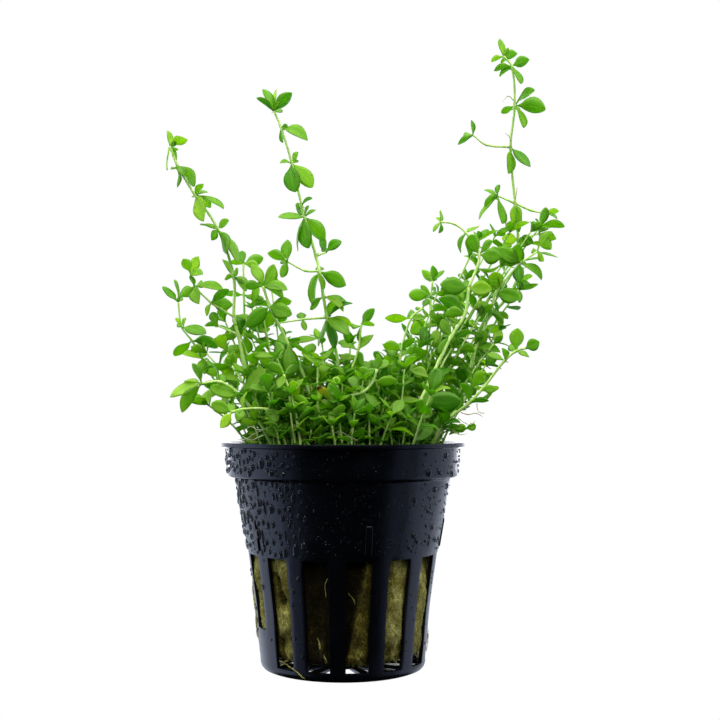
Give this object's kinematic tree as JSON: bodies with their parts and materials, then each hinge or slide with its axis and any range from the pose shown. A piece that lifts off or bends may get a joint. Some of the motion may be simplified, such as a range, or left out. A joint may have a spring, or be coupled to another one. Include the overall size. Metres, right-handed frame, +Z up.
{
  "type": "potted aquarium plant",
  "caption": "Bushy small-leaved aquarium stem plant with a few tall shoots, rooted in a mineral wool plug in a slotted black net pot.",
  "frame": {"origin": "middle of the flat underside of the pot's floor", "axes": "+Z up along the pot's axis, -Y towards the side that the picture shows, +X to the right from that side"},
  "size_m": [0.0925, 0.0588, 0.1439],
  "materials": {
    "pot_plastic": "moulded black polypropylene, satin, with water beads",
    "mineral_wool": "matted olive-brown mineral wool, wet",
    "leaf": "young leaf, thin and slightly translucent, satin",
    "stem": "pale juicy stem, satin",
    "root": "fine pale root hairs",
    "water": "beads of water on the pot's wet wall"
  },
  "bodies": {
    "root": {"net_pot": "pot_plastic", "shoot_bush_01": "leaf", "shoot_bush_02": "leaf", "shoot_bush_03": "leaf", "shoot_bush_04": "leaf", "shoot_bush_05": "leaf", "shoot_bush_06": "leaf", "shoot_bush_07": "leaf", "shoot_bush_08": "leaf", "shoot_bush_09": "leaf", "shoot_bush_10": "leaf", "shoot_bush_11": "leaf", "shoot_bush_12": "leaf", "shoot_bush_13": "leaf", "shoot_bush_14": "leaf", "shoot_bush_15": "leaf", "shoot_bush_16": "leaf", "shoot_bush_17": "leaf", "shoot_bush_18": "leaf", "shoot_bush_19": "leaf", "shoot_bush_20": "leaf", "shoot_bush_21": "leaf", "shoot_centre_low": "leaf", "shoot_centre_right": "leaf", "shoot_centre_small": "leaf", "shoot_front_arch": "leaf", "shoot_front_left": "leaf", "shoot_inner_right": "leaf", "shoot_left_arch": "leaf", "shoot_left_back": "leaf", "shoot_left_inner": "leaf", "shoot_left_tall": "leaf", "shoot_middle_left": "leaf", "shoot_right_low": "leaf", "shoot_right_main": "leaf", "shoot_right_outer": "leaf", "shoot_right_tall": "leaf", "shoot_second_tall": "leaf", "wool_plug": "mineral_wool"}
  },
  "joints": []
}
